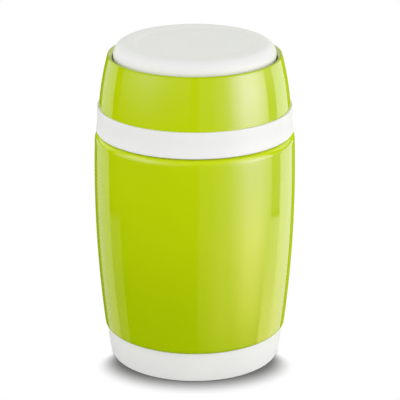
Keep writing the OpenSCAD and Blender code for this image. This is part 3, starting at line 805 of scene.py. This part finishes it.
def card(name, headings, heights, strength, across, up, out=2.0, sheer=False, tone=(1, 1, 1, 1)):
    """Hangs a reflector card on a circle round the jar, out metres from its axis. It spans two
    headings, in degrees from the camera's side and positive to the right, and two heights in
    metres. across and up are the ramp stops (place, share) of its brightness, and tone is its
    colour. A sheer card adds its light to what is behind it."""
    start, end = (math.radians(heading) for heading in headings)
    bm = bmesh.new()
    edge = [bm.verts.new((out * math.sin(start), -out * math.cos(start), z)) for z in heights]
    degrees = headings[1] - headings[0]
    bmesh.ops.spin(
        bm, geom=edge + [bm.edges.new(edge)], cent=(0, 0, 0), axis=(0, 0, 1),
        angle=math.radians(degrees), steps=max(4, round(degrees / 3)),
    )
    made = bpy.data.materials.new(name)
    made.cycles.emission_sampling = "NONE"
    tree = emptied(made)
    x, y, z = put(tree, "SeparateXYZ", {0: own_place(tree)}).outputs
    heading = number(tree, "ARCTAN2", x, number(tree, "MULTIPLY", y, -1.0))
    shares = []
    for reading, ends, stops in ((heading, (start, end), across), (z, heights, up)):
        way_along = spread(tree, reading, 0.0, 1.0, start=ends[0], end=ends[1])
        ramp = put(tree, "ValToRGB", {0: way_along})
        ramp.color_ramp.interpolation = "CARDINAL"
        for spot, _ in stops[2:]:
            ramp.color_ramp.elements.new(spot)
        for element, (spot, share) in zip(ramp.color_ramp.elements, sorted(stops)):
            element.position = spot
            element.color = (share, share, share, 1)
        shares.append(ramp.outputs[0])
    bright = number(tree, "MULTIPLY", number(tree, "MULTIPLY", *shares), strength)
    shine = put(tree, "Emission", {"Color": tone, "Strength": bright}).outputs[0]
    if sheer:
        behind = put(tree, "BsdfTransparent").outputs[0]
        shine = put(tree, "AddShader", {0: shine, 1: behind}).outputs[0]
    put(tree, "OutputMaterial", {"Surface": shine})
    hung = placed(name, bm, made)
    hung.visible_camera = hung.visible_diffuse = hung.visible_shadow = False
    hung.visible_transmission = hung.visible_volume_scatter = False


even = [(0, 1), (1, 1)]
tall, full = (-1.6, 2.9), (-1.9, 2.4)
upper, lower, table = (0.5, 2.4), (-1.9, 0.16), (-1.9, -0.65)

# On the right a tall softbox fades round to a strip behind, with a table's edge below
card(
    "softbox_right", (4.5, 97), tall, 9.3,
    across=[(0, 0.045), (0.2, 0.07), (0.4, 0.28), (0.6, 0.93), (0.7, 1.0), (0.82, 0.84), (1, 0.38)],
    up=[
        (0, 0.03), (0.09, 0.12), (0.18, 0.33), (0.27, 0.56), (0.37, 0.95),
        (0.42, 1.0), (0.5, 0.92), (0.6, 0.6), (1, 0.3),
    ],
)
card(
    "softbox_edge", (97, 113.5), (-0.65, 0.3), 1.5,
    across=even, up=[(0, 0.38), (0.67, 0.4), (1, 1)],
)
card(
    "strip_right", (113.5, 147.5), lower, 2.4,
    across=[(0, 1), (1, 0.62)], up=[(0, 0.45), (0.35, 0.68), (0.56, 0.9), (1, 1)],
)
card(
    "table_right", (91, 113.5), table, 1.55,
    across=even, up=[(0, 0.6), (0.4, 1), (1, 1)], out=1.95,
)

# On the left a strip behind, a table's edge below, and a broad fill in front
card(
    "strip_left", (-149, -114), lower, 1.1,
    across=even, up=[(0, 0.3), (0.35, 0.62), (0.7, 0.76), (1, 1)],
)
card("table_left", (-114, -95), table, 0.28, across=even, up=even, out=1.95)
card(
    "fill_left", (-102, -5), tall, 4.5,
    across=[
        (0, 0.42), (0.12, 0.68), (0.38, 1), (0.54, 0.76), (0.64, 0.48), (0.75, 0.28), (1, 0.12),
    ],
    up=[
        (0, 0), (0.24, 0.005), (0.32, 0.05), (0.37, 0.16), (0.42, 0.3),
        (0.46, 0.5), (0.54, 0.72), (0.7, 0.8), (1, 0.6),
    ],
)

# A sheer scrim lifts the lower front, and toned cards darken the jar's outermost edges
card(
    "scrim_right", (3, 54), (-1.55, -0.2), 0.5,
    across=[(0, 0.25), (0.35, 0.7), (0.62, 1), (1, 0)],
    up=[(0, 0.2), (0.25, 1), (0.65, 0.85), (1, 0)], out=1.95, sheer=True,
)
card("edge_right", (148.5, 180), full, 1.0, across=even, up=even, tone=(0.46, 0.56, 0.01, 1))
card("edge_left", (-180, -150), full, 1.0, across=even, up=even, tone=(0.17, 0.28, 0.0, 1))
card("back_right", (115, 148), upper, 1.3, across=even, up=even)
card("back_left", (-149.5, -115), upper, 1.3, across=even, up=even)


def between(tree, mask, low, high):
    """Mixes two numbers by a mask."""
    return put(tree, "Mix", {0: mask, 2: low, 3: high}).outputs[0]


# The world is white to the camera. Matt surfaces see a sky that is brightest at the horizon, and
# gloss sees a dim ceiling, or an even light from its second bounce on
world = bpy.data.worlds.new("Studio")
bpy.context.scene.world = world
tree = emptied(world)
x, _, z = put(tree, "SeparateXYZ", {0: put(tree, "TexCoord").outputs["Generated"]}).outputs
horizon, zenith, leftward = 1.80, 0.60, -0.03
sky = number(tree, "MULTIPLY_ADD", x, leftward, spread(tree, z, horizon, zenith))
ceiling = spread(tree, z, 0.0, 0.15, start=0.2, end=1.0)
rays = put(tree, "LightPath").outputs
deep = number(tree, "GREATER_THAN", rays["Glossy Depth"], 1.5)
mirrored = between(tree, deep, ceiling, 0.9)
unseen = between(tree, rays["Is Glossy Ray"], sky, mirrored)
strength = between(tree, seen_directly(tree), unseen, 1.0)
backdrop = put(tree, "Background", {"Color": (1, 1, 1, 1), "Strength": strength})
put(tree, "OutputWorld", {"Surface": backdrop.outputs[0]})

# A large low lamp at the right casts the soft shadow to the left
lamp_data = bpy.data.lights.new("key", "AREA")
lamp_data.shape = "DISK"
lamp_data.size = 1.2
lamp_data.energy = 3.5
lamp = bpy.data.objects.new("key", lamp_data)
lamp.location = (1.324, -0.589, 0.2)
lamp.rotation_euler = (math.radians(86), 0, math.radians(66))
lamp.visible_glossy = False
bpy.context.scene.collection.objects.link(lamp)

lens = bpy.data.cameras.new("camera")
lens.lens = 180.07
lens.sensor_width = 36
lens.shift_x = 0.013
lens.shift_y = 0.00435
camera = bpy.data.objects.new("camera", lens)
camera.location = (0, -0.9276, 0.4084)
camera.rotation_euler = (math.radians(70.39), 0, 0)
bpy.context.scene.collection.objects.link(camera)
bpy.context.scene.camera = camera
bpy.context.scene.view_settings.view_transform = "Standard"
